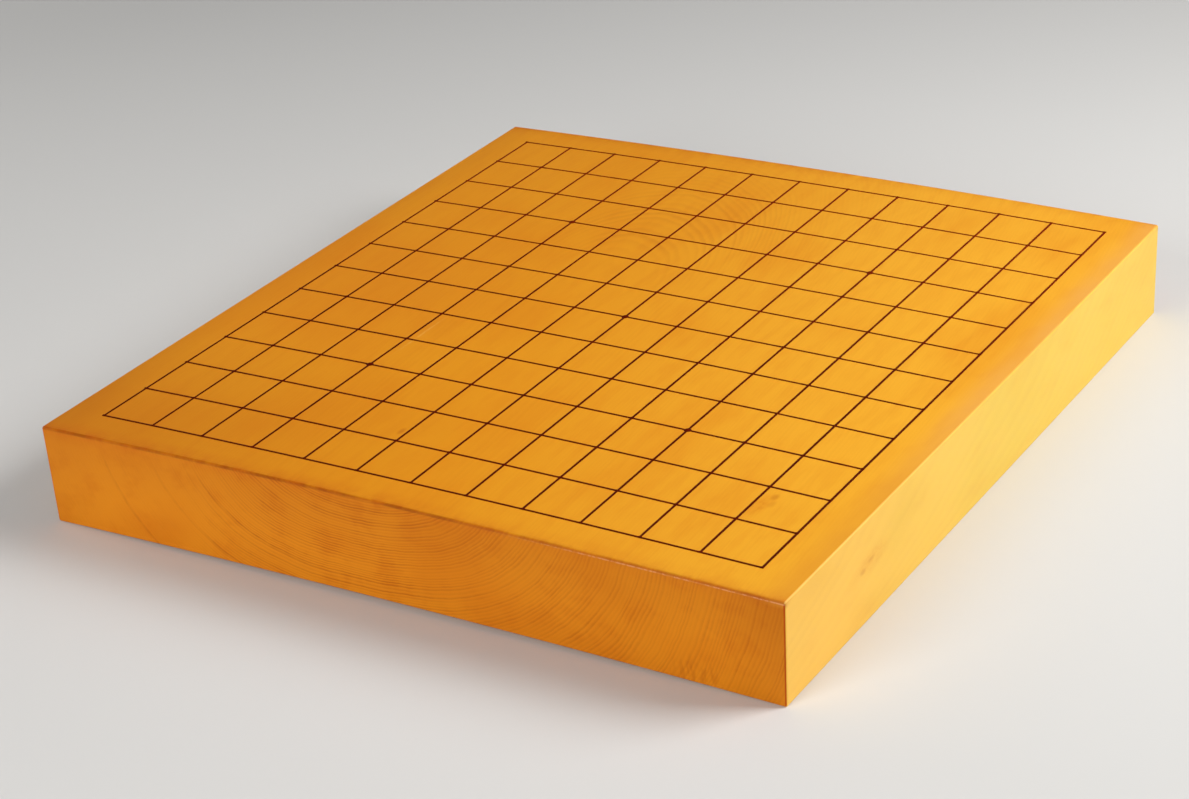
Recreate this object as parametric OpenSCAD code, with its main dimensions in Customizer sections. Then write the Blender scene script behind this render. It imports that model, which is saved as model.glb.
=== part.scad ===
// Table board for the game of go: one thick slab of wood, lined on top in raised lacquer.
// The slab was sawn with the heart of the tree above it, so it has cupped a little while drying:
// its top is slightly crowned, its underside slightly hollow, and it stands on its two lower long edges.
// X runs along the front end-grain face, Y along the grain from front to back, Z up.
// The origin lies under the middle of the board, on the surface that the board stands on.

/* [Grid] */
// Number of lines each way
line_count = 13; // [9:2:19]
// Distance between lengthwise lines, measured over the crown
cell_width = 22; // [16:0.1:28]
// Distance between crosswise lines
cell_depth = 23.7; // [16:0.1:30]
// Line that carries the corner star points, counted from the edge
star_line = 4; // [3:1:4]

/* [Slab] */
// Bare wood outside the grid along each long side, measured over the crown
side_margin = 16; // [8:0.1:30]
// Bare wood outside the grid at the front end and at the back end
end_margin = 15.6; // [8:0.1:30]
// Thickness of the slab
slab_thickness = 38; // [15:0.5:80]
// Rise of the middle above the long edges, left by cupping
cup = 1.7; // [0.3:0.1:4]
// Radius of the eased edges
edge_ease = 0.8; // [0.3:0.1:3]

/* [Lacquer] */
// Width of a line
stroke_width = 1; // [0.5:0.1:1.6]
// Height of a line above the wood
stroke_height = 0.2; // [0.1:0.05:0.4]
// Length of the slope on each side of a crossing, where the upper line climbs over the lower one
crossing_slope = 0.4; // [0.2:0.1:1]
// Diameter of a star point
star_diameter = 2.7; // [2:0.1:6]
// Height of a star point above the crossing that it covers
star_rise = 0.15; // [0.05:0.05:0.5]

/* [Hidden] */
wood_colour = [0.89, 0.60, 0.17];
lacquer_colour = [0.13, 0.07, 0.04];

// Steps across the rounded top of a line or a star point
bead_steps = 4;
// Flats across an eased edge
ease_steps = 4;
// Facets in a full turn of a star point and of the very wide turn of the crown
star_facets = 48;
crown_facets = 3600;
// Waste that a cutter takes beyond the wood
overcut = 2;

grid_width = (line_count - 1) * cell_width;
grid_depth = (line_count - 1) * cell_depth;
slab_width = grid_width + 2 * side_margin;
slab_depth = grid_depth + 2 * end_margin;

// The crown is part of a very wide cylinder, whose axis runs along the grain far below the board.
// Both values are rounded, so that every piece on the crown shares exactly the same axis.
crown_radius = round(slab_width * slab_width / (8 * cup));
half_turn = turn_over(slab_width / 2);
underside_drop = (crown_radius - slab_thickness) * cos(half_turn) + edge_ease * sin(half_turn);
axis_height = -round(underside_drop * 100) / 100;

// A crosswise line runs straight between lengthwise lines, so it leaves the crown a little at each of them
length_lift = crown_radius * (1 / cos(turn_over(cell_width / 2)) - 1);

crossing_height = 2 * stroke_height;
crossing_width = stroke_width + 2 * crossing_slope;
star_height = crossing_height + star_rise;
centre_line = (line_count + 1) / 2;
far_star_line = line_count + 1 - star_line;

STARS = [
    ["star_point_front_left", star_line, star_line],
    ["star_point_front_right", far_star_line, star_line],
    ["star_point_centre", centre_line, centre_line],
    ["star_point_back_left", star_line, far_star_line],
    ["star_point_back_right", far_star_line, far_star_line],
];

// Names, counted from the left and from the front
function two_digits(number) = str(number < 10 ? "0" : "", number);
function lengthwise_name(column) = str("lengthwise_line_", two_digits(column));
function crosswise_name(row) = str("crosswise_line_", two_digits(row));

// Turn in degrees about the crown's axis that covers a distance over the crown
function turn_over(distance) = distance / crown_radius * 180 / PI;

// Place of a line from the middle of the grid
function line_place(number, cell) = (number - centre_line) * cell;

// Points mirrored in X or Y, listed the other way round so that an outline keeps its direction
function mirrored(points, x, y) = [
    for (index = [len(points) - 1 : -1 : 0]) [points[index][0] * x, points[index][1] * y]
];

// Points round the outside corner of an eased edge, for wood that lies on the minus side of X and Y
function ease_points() = [
    for (step = [0 : ease_steps])
        let (turn = 90 * step / ease_steps)
            edge_ease * [sin(turn) - 1, cos(turn) - 1]
];

// Points of a shallow rounded top, from one foot to the other, or from its peak outwards
function bead_height(share, height) = height * (1 - share * share);
function bead_points(width, height, from) = [
    for (step = [0 : bead_steps])
        let (share = from + (1 - from) * step / bead_steps)
            [share * width / 2, bead_height(share, height)]
];

// Cross-section of a lacquer line, standing on the wood
module bead(width, height) {
    polygon(bead_points(width, height, -1));
}

// Straight length of lacquer along Y
module straight_bead(width, height, length) {
    rotate([90, 0, 0])
        linear_extrude(length, center = true)
            bead(width, height);
}

// Sets its children on the crowned top: Z is square to the wood there
module on_crown(across, along = 0) {
    turn = turn_over(across);
    translate([crown_radius * sin(turn), along, axis_height + crown_radius * cos(turn)])
        rotate([0, turn, 0])
            children();
}

// Bends a profile across the board. Profile X is the height above the top, profile Y lies along the grain.
module bent_across(reach) {
    translate([0, 0, axis_height])
        rotate([90, 0, 0])
            rotate([0, 0, 90 - turn_over(reach)])
                rotate_extrude(angle = 2 * turn_over(reach), $fn = crown_facets)
                    translate([crown_radius, 0])
                        children();
}

// What is planed off a sharp edge along Z, for wood that lies on the minus side of X and Y
module edge_waste(length) {
    outside = [[overcut, -edge_ease], [overcut, overcut], [-edge_ease, overcut]];
    linear_extrude(length, center = true)
        polygon(concat(ease_points(), outside));
}

// Section of the slab along the grain, with its four edges eased
module slab_section() {
    quarter = [for (point = ease_points()) point + [slab_thickness, slab_depth] / 2];
    back_half = concat(mirrored(quarter, -1, 1), quarter);
    polygon(concat(back_half, mirrored(back_half, 1, -1)));
}

// Waste at the right side of the slab: its two long edges and its two upright corners
module right_side_waste() {
    on_crown(slab_width / 2)
        translate([0, 0, -slab_thickness / 2]) {
            for (below = [0, 1])
                mirror([0, 0, below])
                    translate([0, 0, slab_thickness / 2])
                        rotate([90, 0, 0])
                            edge_waste(slab_depth + overcut);
            for (behind = [0, 1])
                mirror([0, behind, 0])
                    translate([0, slab_depth / 2, 0])
                        edge_waste(slab_thickness + overcut);
        }
}

module slab() {
    color(wood_colour)
        difference() {
            bent_across(slab_width / 2)
                translate([-slab_thickness / 2, 0])
                    slab_section();
            for (left = [0, 1])
                mirror([left, 0, 0])
                    right_side_waste();
        }
}

// Lines along the grain are laid first, straight on the wood
module lengthwise_line(column) {
    color(lacquer_colour)
        on_crown(line_place(column, cell_width))
            straight_bead(stroke_width, stroke_height, grid_depth + stroke_width);
}

// Crosswise lacquer between two lengthwise lines. It is straight, and touches the crown at its middle.
module crosswise_length(column) {
    on_crown(line_place(column + 1 / 2, cell_width))
        rotate(90)
            straight_bead(stroke_width, stroke_height, cell_width);
}

// Crosswise lacquer where it climbs over a lengthwise line. The outermost humps stop at its outer edge.
module crossing_hump(column) {
    left = column == 1 ? stroke_width / 2 : crossing_width / 2;
    right = column == line_count ? stroke_width / 2 : crossing_width / 2;
    on_crown(line_place(column, cell_width))
        intersection() {
            straight_bead(crossing_width, crossing_height, stroke_width);
            translate([(right - left) / 2, 0, 0])
                rotate(90)
                    straight_bead(stroke_width, crossing_height, left + right);
        }
}

// Line across the board, laid second: it climbs over every lengthwise line
module crosswise_line(row) {
    color(lacquer_colour)
        difference() {
            translate([0, line_place(row, cell_depth), 0]) {
                for (column = [1 : line_count - 1])
                    crosswise_length(column);
                for (column = [1 : line_count])
                    crossing_hump(column);
            }
            for (column = [1 : line_count])
                lengthwise_line(column);
        }
}

// Lacquer that already lies under a star point. The crown counts as flat over so short a length.
module crossing_under_star() {
    straight_bead(stroke_width, stroke_height, star_diameter);
    rotate(90)
        straight_bead(stroke_width, stroke_height + length_lift, star_diameter);
    intersection() {
        straight_bead(crossing_width, crossing_height, star_diameter);
        rotate(90)
            straight_bead(stroke_width, crossing_height, star_diameter);
    }
}

// Drop of lacquer over a crossing, laid last
module star_point(column, row) {
    color(lacquer_colour)
        on_crown(line_place(column, cell_width), line_place(row, cell_depth))
            difference() {
                rotate_extrude($fn = star_facets)
                    polygon(concat([[0, 0]], bead_points(star_diameter, star_height, 0)));
                crossing_under_star();
            }
}

slab();

for (column = [1 : line_count])
    lengthwise_line(column);

for (row = [1 : line_count])
    crosswise_line(row);

for (star = STARS)
    star_point(star[1], star[2]);
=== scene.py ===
# %% [markdown]
# # A table board for go
# The real board is one thick slab of honey-coloured softwood. Its grid is drawn on top in raised dark
# lacquer. The measured solids come from the CAD frame: one slab, 26 lacquer lines and 5 star points.
# Blender's part is the look: a finer slab with hand-eased edges, wood that is cut out of one log, and
# lacquer.

# %% Load the measured board
import math

import bpy
import numpy as np
from mathutils import Matrix, Vector


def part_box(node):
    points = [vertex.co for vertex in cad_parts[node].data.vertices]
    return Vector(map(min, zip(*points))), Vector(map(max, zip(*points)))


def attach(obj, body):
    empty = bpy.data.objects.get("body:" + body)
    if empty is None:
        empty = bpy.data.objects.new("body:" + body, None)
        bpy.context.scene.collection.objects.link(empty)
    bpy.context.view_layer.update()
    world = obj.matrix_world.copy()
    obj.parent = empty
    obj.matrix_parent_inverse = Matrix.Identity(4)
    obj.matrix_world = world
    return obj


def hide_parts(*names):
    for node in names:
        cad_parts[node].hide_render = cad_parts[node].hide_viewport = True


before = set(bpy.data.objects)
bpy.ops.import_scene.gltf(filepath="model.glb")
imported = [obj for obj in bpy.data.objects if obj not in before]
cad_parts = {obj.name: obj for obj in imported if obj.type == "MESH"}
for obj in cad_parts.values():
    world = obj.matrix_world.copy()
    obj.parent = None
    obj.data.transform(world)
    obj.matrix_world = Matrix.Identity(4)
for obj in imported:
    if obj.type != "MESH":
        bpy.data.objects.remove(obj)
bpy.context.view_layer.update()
mm_per_m = 1000


# %% [markdown]
# ## Camera
# The photograph was taken from the front right with a long lens, and the camera was tipped a little. An
# aimed camera with a tracking target would keep the horizon level, so the three turns are written out
# instead. Read from right to left they are: roll the camera, tip it up from looking straight down, swing it
# round the board.

# %% Stand the camera where the photograph was taken
eye = Vector((0.50018, -0.80685, 0.47402))
view_azimuth = math.radians(32.614)
view_elevation = math.radians(26.222)
view_roll = math.radians(-4.179)
lens_mm = 85.22
sensor_mm = 36

swing = Matrix.Rotation(view_azimuth, 4, "Z")
tip = Matrix.Rotation(math.pi / 2 - view_elevation, 4, "X")
roll = Matrix.Rotation(view_roll, 4, "Z")

camera = bpy.data.objects.new("camera", bpy.data.cameras.new("camera"))
camera.data.lens = lens_mm
camera.data.sensor_width = sensor_mm
camera.matrix_world = Matrix.Translation(eye) @ swing @ tip @ roll
bpy.context.scene.collection.objects.link(camera)
bpy.context.scene.camera = camera
print("Camera is", round(eye.length, 3), "m from the middle of the board")


# %% [markdown]
# ## Writing materials as formulas
# A wood made of nodes soon has a hundred of them, and wired one by one they can't be read. These few helpers
# add a node and give back its result, so that a material reads like the sums that it does. The first group
# works on numbers. The second adds places, noise and colours.

# %% Helpers for numbers
class Formula:
    """A material under construction. Every helper adds a node and returns what comes out of it."""

    def __init__(self, name):
        self.material = bpy.data.materials.new(name)
        self.material.use_nodes = True
        self.tree = self.material.node_tree
        self.shader = self.tree.nodes["Principled BSDF"]

    def feed(self, socket, value):
        """Links a result into a socket, or sets the socket to a plain value."""
        if isinstance(value, bpy.types.NodeSocket):
            self.tree.links.new(value, socket)
        else:
            socket.default_value = value

    def sum(self, operation, *values):
        """One sum on numbers."""
        node = self.tree.nodes.new("ShaderNodeMath")
        node.operation = operation
        for socket, value in zip(node.inputs, values):
            self.feed(socket, value)
        return node.outputs[0]

    def add(self, *values):
        """All values added up."""
        total = values[0]
        for value in values[1:]:
            total = self.sum("ADD", total, value)
        return total

    def less(self, first, second):
        """The first value less the second."""
        return self.sum("SUBTRACT", first, second)

    def times(self, *values):
        """All values multiplied."""
        product = values[0]
        for value in values[1:]:
            product = self.sum("MULTIPLY", product, value)
        return product

    def fade(self, value, start, end, low=0.0, high=1.0):
        """Goes smoothly from low to high while a value goes from start to end."""
        node = self.tree.nodes.new("ShaderNodeMapRange")
        node.interpolation_type = "SMOOTHSTEP"
        for socket, number in zip(node.inputs, (value, start, end, low, high)):
            self.feed(socket, number)
        return node.outputs[0]


def helper_names(kind):
    """Names of the helpers that a class defines."""
    return [name for name in vars(kind) if not name.startswith("__")]


print("Helpers for numbers:", helper_names(Formula))

# %% Helpers for places, noise and colours
bump_reach = 0.00005


class Finish(Formula):
    """A finish of the board or of the floor, with places in millimetres."""

    def vector_sum(self, operation, *values):
        """One sum on vectors. Returns the node, from which either a vector or a length is taken."""
        node = self.tree.nodes.new("ShaderNodeVectorMath")
        node.operation = operation
        for socket, value in zip(node.inputs, values):
            self.feed(socket, value)
        return node

    def stretch(self, place, factors):
        """A place with each of its three parts multiplied."""
        return self.vector_sum("MULTIPLY", place, factors).outputs["Vector"]

    def place(self):
        """Where a point lies on the object, in millimetres."""
        metres = self.tree.nodes.new("ShaderNodeTexCoord").outputs["Object"]
        return self.stretch(metres, (mm_per_m, mm_per_m, mm_per_m))

    def length(self, vector):
        """How long a vector is."""
        return self.vector_sum("LENGTH", vector).outputs["Value"]

    def split(self, vector):
        """The three parts of a vector."""
        node = self.tree.nodes.new("ShaderNodeSeparateXYZ")
        self.feed(node.inputs[0], vector)
        return node.outputs[0], node.outputs[1], node.outputs[2]

    def noise(self, place, grain, detail=2.0, roughness=0.5):
        """Cloudy noise from 0 to 1, whose clouds measure about grain millimetres along X, Y and Z."""
        node = self.tree.nodes.new("ShaderNodeTexNoise")
        self.feed(node.inputs["Vector"], self.stretch(place, [1 / size for size in grain]))
        node.inputs["Scale"].default_value = 1
        node.inputs["Detail"].default_value = detail
        node.inputs["Roughness"].default_value = roughness
        return node.outputs[0]

    def noise_along(self, value, detail=1.0):
        """Noise from 0 to 1 along a single value, with about one wave in each unit of it."""
        node = self.tree.nodes.new("ShaderNodeTexNoise")
        node.noise_dimensions = "1D"
        self.feed(node.inputs["W"], value)
        node.inputs["Scale"].default_value = 1
        node.inputs["Detail"].default_value = detail
        return node.outputs[0]

    def mix(self, share, first, second):
        """A colour between two others. The node also mixes numbers, so its colour sockets are named."""
        node = self.tree.nodes.new("ShaderNodeMix")
        node.data_type = "RGBA"
        sockets = {socket.identifier: socket for socket in node.inputs}
        self.feed(sockets["Factor_Float"], share)
        self.feed(sockets["A_Color"], first)
        self.feed(sockets["B_Color"], second)
        return next(socket for socket in node.outputs if socket.identifier == "Result_Color")

    def bump(self, height, strength):
        """Fine relief for the light only, of a few hundredths of a millimetre."""
        node = self.tree.nodes.new("ShaderNodeBump")
        node.inputs["Strength"].default_value = strength
        node.inputs["Distance"].default_value = bump_reach
        self.feed(node.inputs["Height"], height)
        return node.outputs[0]

    def set(self, **inputs):
        """Sets or links the shader's own sockets, named with underscores."""
        for name, value in inputs.items():
            self.feed(self.shader.inputs[name.replace("_", " ")], value)


print("Helpers for places, noise and colours:", helper_names(Finish))

# %% [markdown]
# ## Floor
# The board stands on a plain pale floor. Its finish is matt, so that no lamp glares on it. The lamps hang
# near the board and leave the far floor in the dark. Stronger lamps would burn out the board, so the far
# floor glows a little, for the camera and for reflections only, and gives the board no light.

# %% Lay the floor
floor_colour = (0.70, 0.69, 0.67, 1)
floor_reach = 6
glow_starts_mm = 550
glow_full_mm = 1250
glow_strength = 0.5

floor_finish = Finish("pale_floor")
rays = floor_finish.tree.nodes.new("ShaderNodeLightPath").outputs
seen = floor_finish.add(rays["Is Camera Ray"], rays["Is Glossy Ray"], rays["Is Transmission Ray"])
from_middle = floor_finish.length(floor_finish.place())
far_glow = floor_finish.fade(from_middle, glow_starts_mm, glow_full_mm, 0, glow_strength)
floor_finish.set(Base_Color=floor_colour, Roughness=0.9, Specular_IOR_Level=0.1)
floor_finish.set(Emission_Color=floor_colour, Emission_Strength=floor_finish.times(far_glow, seen))

corners = [(x * floor_reach, y * floor_reach, 0) for x, y in ((-1, -1), (1, -1), (1, 1), (-1, 1))]
floor_mesh = bpy.data.meshes.new("floor")
floor_mesh.from_pydata(corners, [], [(0, 1, 2, 3)])
floor_mesh.materials.append(floor_finish.material)
floor = bpy.data.objects.new("floor", floor_mesh)
bpy.context.scene.collection.objects.link(floor)
print("Floor is", 2 * floor_reach, "m wide")

# %% [markdown]
# ## Lamps
# In the photograph the main light comes from the right and a little from behind: the right side is
# brightest, the top fades from right to left, and the front end lies in soft shade. A sun lamp would light
# the top evenly, so a square lamp close to the right gives that fade. A wide lamp overhead fills the top,
# one in front lifts the end grain, and a low one lights the left side. Two of the beams are narrowed to
# spare the floor beside them, and a faint world lifts the shadows.

# %% Hang the lamps
board_middle = Vector((0, 0, 0.03))
open_beam = 180
world_strength = 0.13


def soft_lamp(name, place, size, watts, beam=open_beam):
    """A square soft lamp that faces the board. The width of its beam is in degrees."""
    lamp = bpy.data.objects.new(name, bpy.data.lights.new(name, "AREA"))
    lamp.data.size = size
    lamp.data.energy = watts
    lamp.data.spread = math.radians(beam)
    lamp.location = place
    lamp.rotation_euler = (board_middle - Vector(place)).to_track_quat("-Z", "Y").to_euler()
    bpy.context.scene.collection.objects.link(lamp)
    return lamp


soft_lamp("key_lamp", (0.85, 0.4, 0.72), 0.6, 6.3, beam=120)
soft_lamp("top_lamp", (0.1, 0.1, 1.8), 1.6, 3)
soft_lamp("front_lamp", (-0.2, -1.25, 0.65), 0.6, 9.9)
fill_lamp = soft_lamp("fill_lamp", (-1.3, 0.05, 0.22), 0.3, 0.42, beam=60)
fill_lamp.visible_camera = False

world = bpy.data.worlds.new("studio")
world.use_nodes = True
backdrop = world.node_tree.nodes["Background"]
backdrop.inputs["Color"].default_value = (1, 1, 1, 1)
backdrop.inputs["Strength"].default_value = world_strength
bpy.context.scene.world = world
bpy.context.scene.view_settings.view_transform = "Standard"

# %% [markdown]
# ## Slab
# The board was sawn with the heart of the tree above it, so it has cupped: its top is crowned, its underside
# hollow. The CAD solid is exact, but its mesh spans the crown with a few flat strips, and light shows them.
# A subdivided cube would round its corners too much. So the slab is gridded: rows close together at the
# edges, each point pulled onto the eased edge, and the whole block then bent round the axis of the crown.

# %% Sizes of the slab, as in the solid
slab_width = 0.296
slab_thickness = 0.038
cup = 0.0017
edge_ease = 0.0008
slab_depth = 2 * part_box("slab")[1].y

crown_radius = slab_width ** 2 / (8 * cup)
half_turn = slab_width / 2 / crown_radius
axis_height = -(crown_radius - slab_thickness) * math.cos(half_turn) - edge_ease * math.sin(half_turn)
crown_top = axis_height + crown_radius
print("Crown is", round(crown_top * mm_per_m, 2), "mm high")
print("Slab is", round(slab_depth * mm_per_m, 1), "mm deep")

# %% Grid the block
grid_step = 0.006
ease_rows = 4


def edge_rows(length):
    """Places along one side of a block: close together on the eased edges, even between them."""
    half = length / 2
    turns = [math.pi / 4 * row / ease_rows for row in range(ease_rows + 1)]
    at_edge = [half - edge_ease * (1 - math.tan(turn)) for turn in turns]
    count = max(2, round((length - 2 * edge_ease) / grid_step))
    inner = list(np.linspace(-half + edge_ease, half - edge_ease, count + 1))[1:-1]
    return [-place for place in reversed(at_edge)] + inner + at_edge


def block_faces(sizes):
    """Points and quads of the six sides of a gridded block. Points on shared edges are shared."""
    last = [len(rows) - 1 for rows in sizes]
    points, index, quads = [], {}, []

    def point(key):
        if key not in index:
            index[key] = len(points)
            points.append([rows[place] for rows, place in zip(sizes, key)])
        return index[key]

    for axis in range(3):
        across, along = (axis + 1) % 3, (axis + 2) % 3
        for side in (0, last[axis]):
            for a in range(last[across]):
                for b in range(last[along]):
                    ring = [(a, b), (a + 1, b), (a + 1, b + 1), (a, b + 1)]
                    keys = [[0, 0, 0] for _ in ring]
                    for key, (u, v) in zip(keys, ring):
                        key[axis], key[across], key[along] = side, u, v
                    quad = [point(tuple(key)) for key in keys]
                    quads.append(quad if side else quad[::-1])
    return np.array(points), quads


flat_points, quads = block_faces([edge_rows(length) for length in (slab_width, slab_depth, slab_thickness)])
print("Block has", len(flat_points), "points and", len(quads), "quads")


# %% Ease the edges and bend the block
def eased(points):
    """Points pulled onto eased edges and corners, and the direction that each then faces."""
    half = np.array([slab_width, slab_depth, slab_thickness]) / 2
    core = np.clip(points, edge_ease - half, half - edge_ease)
    out = points - core
    facing = out / np.linalg.norm(out, axis=1, keepdims=True)
    return core + edge_ease * facing, facing


def bent(points, facing):
    """Points and directions of the flat block, bent round the axis of the crown."""
    turn = points[:, 0] / crown_radius
    radius = crown_radius - slab_thickness / 2 + points[:, 2]
    place = np.stack([radius * np.sin(turn), points[:, 1], axis_height + radius * np.cos(turn)], axis=1)
    aside = facing[:, 0] * np.cos(turn) + facing[:, 2] * np.sin(turn)
    upward = facing[:, 2] * np.cos(turn) - facing[:, 0] * np.sin(turn)
    return place, np.stack([aside, facing[:, 1], upward], axis=1)


slab_points, slab_facing = bent(*eased(flat_points))
slab_mesh = bpy.data.meshes.new("wood_slab")
slab_mesh.from_pydata(slab_points.tolist(), [], quads)
slab_mesh.shade_smooth()
slab_mesh.normals_split_custom_set_from_vertices(slab_facing.tolist())
slab = bpy.data.objects.new("wood_slab", slab_mesh)
bpy.context.scene.collection.objects.link(slab)
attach(slab, "root")
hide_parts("slab")
print("Slab spans", np.round((slab_points.max(0) - slab_points.min(0)) * mm_per_m, 2), "mm")

# %% [markdown]
# ## Wood: the log
# Every face of the slab is a cut through the same log, so the wood is a solid texture, not a picture on each
# face. The heart of the tree runs along the board, some way above its top. Growth rings are tubes round that
# line. The trunk was broad and flat-bottomed: its rings run level in the middle and turn up steeply at the
# sides. A circle can't do that, but a power a little above the two of a circle can. Towards the back the
# heart climbs away from the board, and there the top cuts the tubes into a nest of arches.

# %% Rings of the log
wood = Finish("honey_softwood")
place = wood.place()
x, y, z = wood.split(place)
top_mm = crown_top * mm_per_m
half_depth_mm = slab_depth * mm_per_m / 2
half_width_mm = slab_width * mm_per_m / 2

heart_above_top = 30
climb_from_y = 20
climb_rate = 0.12
heart_x_in_middle = -24.5
heart_drift = -0.08
ring_power = 2.5
ring_breadth = 0.6

behind = wood.sum("MAXIMUM", wood.less(y, climb_from_y), 0)
heart_rise = wood.sum("SQRT", wood.add(heart_above_top ** 2, wood.times(behind, behind, climb_rate)))
heart_x = wood.add(heart_x_in_middle, wood.times(y, heart_drift))
across = wood.sum("ABSOLUTE", wood.less(x, heart_x))
down = wood.less(wood.add(heart_rise, top_mm), z)
across_part = wood.times(wood.sum("POWER", across, ring_power), ring_breadth)
down_part = wood.sum("POWER", down, ring_power)
tube = wood.sum("POWER", wood.add(across_part, down_part), 1 / ring_power)
print("Heart of the log lies", heart_above_top, "mm above the top")

# %% [markdown]
# ## Wood: light and dark in a ring
# In spring a tree grows wide pale wood, and in late summer a thin dark line, which ends sharply. A plain
# wave would fade evenly both ways, so each ring is a ramp that climbs slowly and drops at once. No two years
# are alike. Noise bends the tubes a little, makes some years wide and others narrow, and some lines strong
# and others faint.

# %% Late wood
ring_width = 1.1
uneven_run = 8
uneven_reach = 1.8
year_rhythm = 0.43


def ring_bend(grain, detail, reach):
    """Noise that pushes the rings in and out, by reach millimetres in all."""
    return wood.times(wood.less(wood.noise(place, grain, detail), 0.5), reach)


slow_bend = ring_bend((50, 300, 50), 1, 5)
quick_bend = ring_bend((7, 70, 7), 3, 0.9)
ring_reach = wood.add(tube, slow_bend, quick_bend)
uneven_years = wood.times(wood.noise_along(wood.times(ring_reach, 1 / uneven_run), 1), uneven_reach)
ring_number = wood.times(wood.add(ring_reach, uneven_years), 1 / ring_width)
in_ring = wood.sum("FRACT", ring_number)
late_rise = wood.fade(in_ring, 0.1, 0.7)
late_drop = wood.fade(in_ring, 0.75, 1.0, 1, 0)
year_strength = wood.fade(wood.noise_along(wood.times(ring_number, year_rhythm), 2), 0.3, 0.7, 0.3, 1.0)
late_wood = wood.times(late_rise, late_drop, year_strength)
print("Rings are about", ring_width, "mm apart")

# %% [markdown]
# ## Wood: which way a face was cut
# End grain drinks more oil, so the two ends are darker and redder, and their rings show most. The long sides
# were cut nearly along the rings: they are paler and yellower, with broad soft figure. A material for each
# face would leave a seam on the eased edges. Here one material asks which way a point faces, which tells the
# cuts apart and also finds the edges between them.

# %% End grain, sides and edges
facing = wood.tree.nodes.new("ShaderNodeTexCoord").outputs["Normal"]
facing_aside, facing_ends, facing_up = [wood.sum("ABSOLUTE", part) for part in wood.split(facing)]
on_end = wood.fade(facing_ends, 0.5, 0.8)
not_end = wood.less(1, on_end)
on_side = wood.fade(facing_aside, 0.5, 0.8)
not_side = wood.less(1, on_side)
on_level = wood.fade(facing_up, 0.1, 0.3)

crown_drop = wood.times(x, x, 1 / (2 * crown_radius * mm_per_m))
depth = wood.less(top_mm, wood.add(crown_drop, z))
from_right = wood.less(half_width_mm, x)
from_left = wood.add(half_width_mm, x)
from_end = wood.less(half_depth_mm, wood.sum("ABSOLUTE", y))
from_top_face = wood.fade(depth, 1, 3, 1, 0)
print("Faces and edges are told apart by the way they face")

# %% [markdown]
# ## Wood: fibres and clouds
# Long fibres run along the board. On the top and the sides they show as fine streaks, on the ends as fine
# dots. Stretching a noise along Y gives both at once, because the ends then cut across the streaks. Slow
# clouds, smaller mottles and short warm streaks keep the colour from being the same all over.

# %% Fibre streaks and clouds
fine_fibre = wood.less(wood.noise(place, (0.6, 26, 0.6), 3, 0.6), 0.5)
broad_fibre = wood.less(wood.noise(place, (4, 170, 4), 3, 0.55), 0.5)
fibre = wood.add(wood.times(fine_fibre, 0.5), wood.times(broad_fibre, 0.6))
clouds = wood.noise(place, (38, 60, 30), 2)
mottle = wood.noise(place, (12, 24, 10), 3, 0.6)
streaks = wood.fade(wood.noise(place, (4.5, 24, 8), 3, 0.6), 0.42, 0.66)
print("Fibres run along Y")

# %% [markdown]
# ## Wood: where the rings show
# On the ends the left third is calm, with only three dark years. On the top and the sides rings hardly show
# at all, apart from the nest of arches at the back. A few soft masks, measured in millimetres, say so.


# %% Calm and lively places
def blob(centre, reach):
    """1 in the middle of an egg-shaped place, 0 outside it. Its reach is in millimetres along X, Y and Z."""
    from_centre = wood.vector_sum("SUBTRACT", place, centre).outputs["Vector"]
    share = wood.length(wood.stretch(from_centre, [1 / size for size in reach]))
    return wood.fade(share, 0.2, 1.0, 1, 0)


def dark_year(reach):
    """A single dark ring at a distance from the heart, with soft borders."""
    gap = wood.sum("ABSOLUTE", wood.less(wood.add(tube, quick_bend), reach))
    return wood.fade(gap, 0, 0.8, 1, 0)


dark_years = wood.add(*[dark_year(reach) for reach in (62, 75.8, 93)])
broken_years = wood.times(dark_years, wood.fade(depth, 3, 13), wood.fade(mottle, 0.35, 0.6, 0.35, 1))
only_left = wood.fade(x, -45, -20, 1, 0)
calm_left = wood.fade(x, -95, -40, 0.15, 1.3)
calmer_right = wood.fade(x, -10, 40, 1, 0.6)
lively = wood.times(calm_left, calmer_right, wood.fade(mottle, 0.35, 0.65, 0.6, 1.1))
end_rings = wood.add(wood.times(late_wood, lively, 0.4), wood.times(broken_years, only_left, 0.26))

nest_place = blob((-22, 86, top_mm), (62, 62, 25))
nest_front = wood.fade(y, climb_from_y + 10, climb_from_y + 50)
nest = wood.times(nest_place, nest_front, wood.fade(mottle, 0.3, 0.6, 0.5, 1.1))
other_rings = wood.times(late_wood, wood.add(0.04, wood.times(nest, 0.14)))
ring_shade = wood.add(wood.times(on_end, end_rings), wood.times(not_end, other_rings))
print("Rings show most on the ends and in the nest of arches")

# %% [markdown]
# ## Wood: knots, stains and a scratch
# Twigs that died young left tiny red knots: a pair and a single one on the top, two specks on the right
# side, and a feathery one low on the front end. The wood beside some of them is stained, the left of the top
# is warmer, and a faint pale scratch runs along the grain. The knots are planed flush with the wood, so they
# need no shape. Each is a small egg-shaped place of colour.

# %% Knots, stains and a scratch
right_top_mm = top_mm - cup * mm_per_m
mark_depth = 9
specks = wood.fade(wood.noise(place, (1.3, 2.6, 1.3), 2, 0.6), 0.42, 0.6)
strokes = wood.fade(wood.noise(place, (1.6, 30, 7), 2), 0.45, 0.62)

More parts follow.
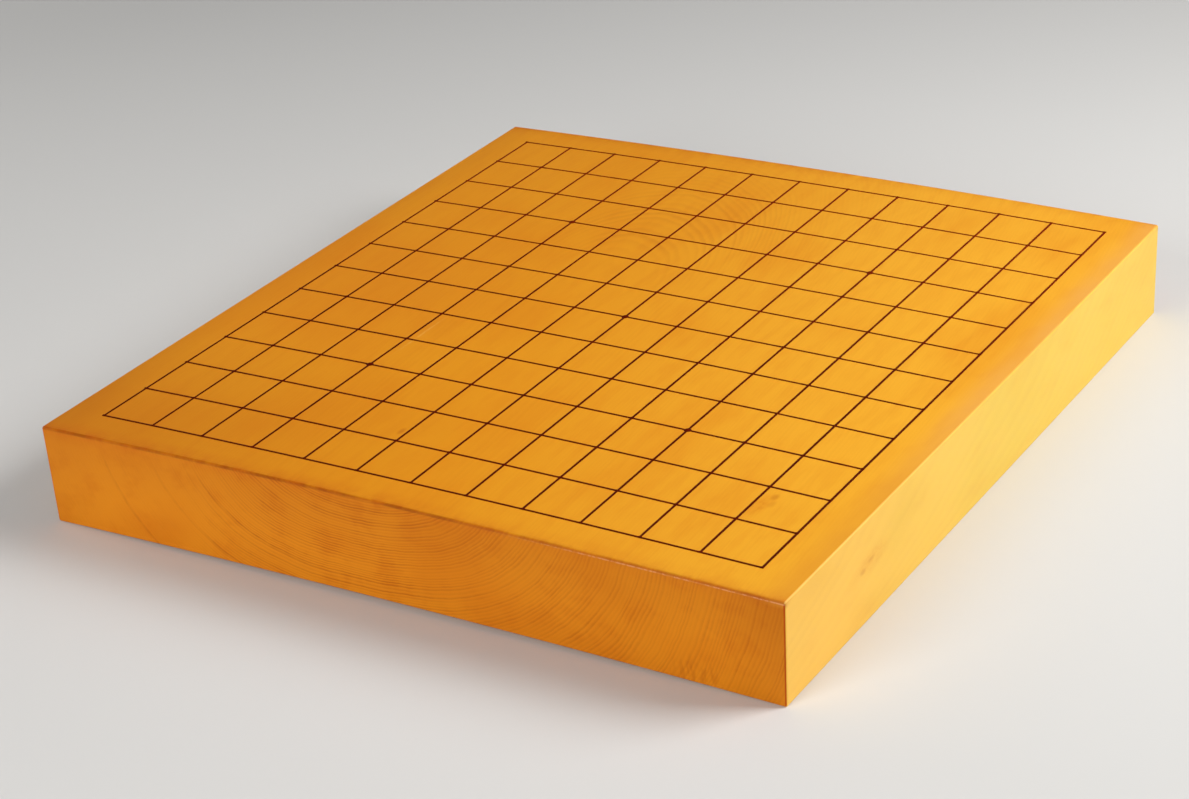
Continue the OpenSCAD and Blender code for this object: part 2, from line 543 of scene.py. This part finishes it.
# Each knot has a centre, a reach and a strength
knot_list = [
    ((114.8, -100.5, top_mm), (1.9, 3.2, mark_depth), 0.42),
    ((116, -105, top_mm), (1.8, 3.5, mark_depth), 0.2),
    ((-24.4, -111.7, top_mm), (1.6, 3.5, mark_depth), 0.5),
    ((half_width_mm, -104, right_top_mm - 17.6), (mark_depth, 3, 1.6), 0.3),
    ((half_width_mm, -98, right_top_mm - 15.8), (mark_depth, 3.5, 1.3), 0.3),
]
round_knots = [wood.times(blob(centre, reach), strength) for centre, reach, strength in knot_list]
feather = wood.times(blob((116, -half_depth_mm, 4), (13, mark_depth, 8)), strokes, 0.4)
knots = wood.add(*round_knots, feather)

top_stain = blob((112.6, -107, top_mm), (4, 10, mark_depth))
side_stain = wood.times(blob((half_width_mm, -97, right_top_mm - 16), (mark_depth, 16, 6)), 0.5)
stains = wood.times(wood.add(top_stain, side_stain), wood.fade(specks, 0, 1, 0.25, 0.5))
warm_place = wood.times(blob((-121, -10, top_mm), (100, 85, 25)), 0.35)
scratch_place = blob((-62.8, -43, top_mm), (0.7, 24, mark_depth))
scratch = wood.times(scratch_place, wood.fade(specks, 0, 1, 0.05, 0.2))
print("Marks:", len(knot_list) + 1, "knots, 2 stains, a warm place and a scratch")

# %% [markdown]
# ## Wood: marks of hands
# A board is lifted by its ends. Hands have left a thin broken line of grime on the upper edges of the two
# ends, smudges beside it and dark upright corners. The end grain is also browner towards its top and its
# upright corners, and the top towards its front left and along its left edge. Such marks are often painted
# on a picture. Here the distance from an edge gives their place, and noise breaks them up.

# %% Handled ends
finger_marks = wood.fade(wood.noise(place, (5, 7, 6), 4, 0.6), 0.35, 0.65, 0.5, 1.5)
wide_shade = wood.times(wood.fade(from_end, 0, 9, 0.2, 0), wood.fade(x, -20, 60, 1, 0.65))
narrow_shade = wood.fade(from_end, 0, 2.5, 0.2, 0)
above_edge = wood.times(wood.add(narrow_shade, wide_shade), from_top_face, not_end)
below_edge = wood.times(wood.add(wood.fade(depth, 0.2, 2, 0.18, 0), wood.fade(depth, 0, 6, 0.15, 0)), on_end)
smudges = wood.times(finger_marks, wood.add(below_edge, above_edge))

broken_line = wood.fade(wood.noise_along(wood.times(x, 1 / 14), 4), 0.35, 0.65, 0.15, 0.55)
end_arc = wood.times(wood.fade(from_end, 0.3, 0.9, 1, 0), wood.fade(depth, 0.6, 1.2, 1, 0))
grime_line = wood.times(end_arc, broken_line, wood.fade(x, 0, 80, 1, 0.5))
on_arc = wood.times(wood.fade(facing_aside, 0.15, 0.3), wood.fade(facing_aside, 0.6, 0.8, 1, 0))
upright_edge = wood.times(on_arc, wood.less(1, on_level), 0.9)

# Browner towards the top and the upright corners of the ends, the front left of the top and its left edge
toward_sides = wood.add(wood.fade(from_left, 0, 30, 0.12, 0), wood.fade(from_right, 0, 30, 0.3, 0))
browner_end = wood.times(on_end, wood.add(wood.fade(depth, 4, 26, 0.19, 0), toward_sides))
browner_front_left = wood.times(wood.fade(y, -158, -40, 0.36, 0), wood.fade(x, -148, 20, 1, 0.1))
browner_top_left = wood.times(not_end, wood.add(browner_front_left, wood.fade(from_left, 0, 20, 0.16, 0)))
print("Both ends are marked by hands")

# %% [markdown]
# ## Wood: rim and worn edges
# The rim at the right has a soft brown shade, paler towards the back. The long upper edges carry a pale
# painted highlight, and the front edge near its right corner a pinkish painted highlight under the grime.
# Blender can find edges by their pointiness, but only on a dense mesh. An eased edge faces askew, which is
# enough here.

# %% Shaded rim and painted edge highlights
patchy_rim = wood.fade(mottle, 0.3, 0.7, 0.6, 1)
rim_shade = wood.times(wood.fade(from_right, 0, 12, 0.9, 0), from_top_face, not_side, patchy_rim)
# Painted highlight: a pale line along the long upper edges, where the lamps glance off their eased arcs
highlight_arc = wood.times(wood.fade(facing_aside, 0.3, 0.5), wood.fade(facing_aside, 0.85, 0.98, 1, 0))
painted_long_edge_highlight = wood.times(on_level, highlight_arc, wood.fade(y, -120, 20, 0.45, 0.15))
# Painted highlight: a broken pinkish line low on the front edge near its right corner, under the grime
highlight_near_corner = wood.times(wood.fade(x, 30, 100), wood.fade(specks, 0, 1, 0.3, 1))
below_arc = wood.times(on_end, wood.fade(depth, 0.6, 0.8, 0, 1), wood.fade(depth, 0.9, 1.4, 1, 0))
painted_end_edge_highlight = wood.times(below_arc, highlight_near_corner, 0.6)
print("The right rim is shaded, and the long edges are worn")

# %% [markdown]
# ## Wood: bled lacquer
# The lacquer was wet when it was drawn, and a little of it crept along the fibres before it dried. So only
# the crosswise lines have a faint red fringe. It is painted in the wood, because it has no thickness: the
# distance to the nearest line comes from the spacing of the lines, and the fibres make the fringe uneven.

# %% Fringe of the crosswise lines
first_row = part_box("crosswise_line_01")
row_gap_mm = (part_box("crosswise_line_02")[0].y - first_row[0].y) * mm_per_m
grid_side_mm = first_row[1].x * mm_per_m
grid_end_mm = -first_row[0].y * mm_per_m
fringe_start = 0.4
fringe_reach = 0.6

in_row = wood.sum("FRACT", wood.add(wood.times(y, 1 / row_gap_mm), 0.5))
from_row = wood.times(wood.sum("ABSOLUTE", wood.less(in_row, 0.5)), row_gap_mm)
uneven_row = wood.add(from_row, wood.times(fine_fibre, 1.2))
beside_grid = wood.fade(wood.sum("ABSOLUTE", x), grid_side_mm, grid_side_mm + 0.3, 1, 0)
beyond_grid = wood.fade(wood.sum("ABSOLUTE", y), grid_end_mm, grid_end_mm + fringe_reach, 1, 0)
near_row = wood.fade(uneven_row, fringe_start, fringe_start + fringe_reach, 1, 0)
fringe_strength = wood.fade(y, -90, 60, 0.3, 0.05)
fringe = wood.times(near_row, beside_grid, beyond_grid, from_top_face, fringe_strength)
print("Crosswise lines are", round(row_gap_mm, 2), "mm apart and bled by up to", fringe_reach, "mm")

# %% [markdown]
# ## Wood: colour
# Each cut has its own base colour: the top, which turns paler towards the right in a painted fade of the
# light from that side, the left side, the right side in two tones, and the ends. The way that a face looks
# chooses between them. Clouds, fibres, rings and marks then lie over the base like thin coats. This wood is
# quiet, so most coats are weak.

# %% Base colours of the cuts
top_colour = (0.82, 0.308, 0.008, 1)
# Colour of the top's right part, as the main lamp lights it: painted light
painted_lit_top_colour = (0.91, 0.422, 0.025, 1)
side_colour = (0.80, 0.538, 0.073, 1)
pale_side_colour = (0.94, 0.548, 0.085, 1)
left_side_colour = (0.84, 0.370, 0.020, 1)
end_colour = (0.82, 0.270, 0.009, 1)

# Painted light: the top turns paler towards the right and back, where the main lamp lights it most
painted_light_fade = wood.fade(wood.add(x, wood.times(y, 0.25)), -60, 135)
patchy_place = wood.add(y, wood.times(wood.less(clouds, 0.5), 160))
right_side = wood.mix(wood.fade(patchy_place, -150, 20), pale_side_colour, side_colour)
both_sides = wood.mix(wood.fade(x, -10, 10), left_side_colour, right_side)
colour = wood.mix(painted_light_fade, top_colour, painted_lit_top_colour)
colour = wood.mix(on_side, colour, both_sides)
colour = wood.mix(on_end, colour, end_colour)
print("Wood has base colours for the top, the sides and the ends")

# %% Coats over the base colours
late_colour = (0.39, 0.045, 0.001, 1)
warm_colour = (0.72, 0.20, 0.005, 1)
knot_colour = (0.52, 0.10, 0.003, 1)
fringe_colour = (0.62, 0.05, 0.001, 1)
handled_colour = (0.50, 0.055, 0.001, 1)
browner_colour = (0.40, 0.085, 0.002, 1)
grime_colour = (0.20, 0.030, 0.001, 1)
# Pale colour of the real scratch, and of the painted highlight on the long edges
scratch_and_highlight_colour = (0.93, 0.66, 0.20, 1)
# Colour of the painted highlight on the front edge
end_highlight_colour = (0.85, 0.42, 0.20, 1)
front_rim_colour = (0.78, 0.32, 0.025, 1)
back_rim_colour = (0.84, 0.39, 0.075, 1)

cloudiness = wood.add(0.26, wood.times(on_end, 0.34), wood.times(on_side, -0.17))
mottling = wood.add(0.10, wood.times(on_end, 0.5), wood.times(on_side, -0.01))
fibre_share = wood.less(0.06, wood.times(on_side, 0.05))
rim_colour = wood.mix(wood.fade(y, -110, 0), front_rim_colour, back_rim_colour)

# Each coat has a strength and a colour, and later coats lie over earlier ones
coats = [
    (wood.times(wood.fade(clouds, 0.42, 0.72), cloudiness), warm_colour),
    (wood.times(wood.fade(mottle, 0.48, 0.75), mottling), warm_colour),
    (wood.times(streaks, on_level, 0.15), warm_colour),
    (wood.times(wood.fade(fibre, -0.05, 0.4), fibre_share), late_colour),
    (ring_shade, late_colour),
    (wood.add(browner_top_left, browner_end), browner_colour),
    (wood.add(stains, warm_place), warm_colour),
    (scratch, scratch_and_highlight_colour),
    (knots, knot_colour),
    (fringe, fringe_colour),
    (rim_shade, rim_colour),
    (wood.add(smudges, upright_edge), handled_colour),
    (grime_line, grime_colour),
    (painted_long_edge_highlight, scratch_and_highlight_colour),
    (painted_end_edge_highlight, end_highlight_colour),
]
for strength, coat_colour in coats:
    colour = wood.mix(strength, colour, coat_colour)
print("Wood has", len(coats), "coats over its base colours")

# %% [markdown]
# ## Wood: polish
# The board was planed, oiled and rubbed by hand. It has a satin sheen, less on the open end grain, more on
# the edges. The grain can still be felt, so the same rings and fibres also lift the surface a little.

# %% Sheen and relief
gloss_tint = (1, 0.7, 0.3, 1)
relief = wood.add(wood.times(late_wood, 0.4), wood.times(fibre, 0.6))
flatness = wood.sum("MAXIMUM", wood.sum("MAXIMUM", facing_aside, facing_ends), facing_up)
edge_polish = wood.fade(flatness, 0.75, 0.97, 0.1, 0)
sheen = wood.add(0.4, wood.times(on_end, 0.1), wood.times(wood.less(clouds, 0.5), 0.12))
wood.set(Base_Color=colour, Roughness=wood.less(sheen, edge_polish), Normal=wood.bump(relief, 0.25))
wood.set(Specular_IOR_Level=0.25, Specular_Tint=gloss_tint)
slab_mesh.materials.append(wood.material)
print("Wood has", len(wood.tree.nodes), "nodes")

# %% [markdown]
# ## Lacquer
# The lines were drawn with thick dark lacquer, which dries as a low rounded ridge. The solids already have
# that ridge, and the crosswise lines climb over the lengthwise ones, so their meshes stay. The lacquer is
# nearly black where it is thick. Thin places let a red-brown show, the coat gets thinner towards the back,
# and the gloss is a little uneven.

# %% Dark lacquer on the lines and star points
ink_colour = (0.085, 0.005, 0.001, 1)
thin_colour = (0.240, 0.020, 0.001, 1)
lacquer_glow = (1, 0.3, 0.1, 1)

lacquer = Finish("dark_lacquer")
lacquer_place = lacquer.place()
along_board = lacquer.split(lacquer_place)[1]
thin_places = lacquer.noise(lacquer_place, (6, 6, 6), 3, 0.6)
thin_in_places = lacquer.fade(thin_places, 0.5, 0.8, 0, 0.4)
thin_at_back = lacquer.fade(along_board, -60, 140, 0, 0.6)
lacquer_colour = lacquer.mix(lacquer.add(thin_in_places, thin_at_back), ink_colour, thin_colour)
lacquer_sheen = lacquer.fade(thin_places, 0.3, 0.7, 0.4, 0.6)
ripples = lacquer.noise(lacquer_place, (0.8, 0.8, 0.8), 2)
lacquer.set(Base_Color=lacquer_colour, Roughness=lacquer_sheen, Normal=lacquer.bump(ripples, 0.2))
lacquer.set(Specular_IOR_Level=0.08, Specular_Tint=lacquer_glow)

inked = [node for name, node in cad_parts.items() if name != "slab"]
for node in inked:
    node.material_slots[0].material = lacquer.material
print("Lacquer covers", len(inked), "lines and star points")

# %% [markdown]
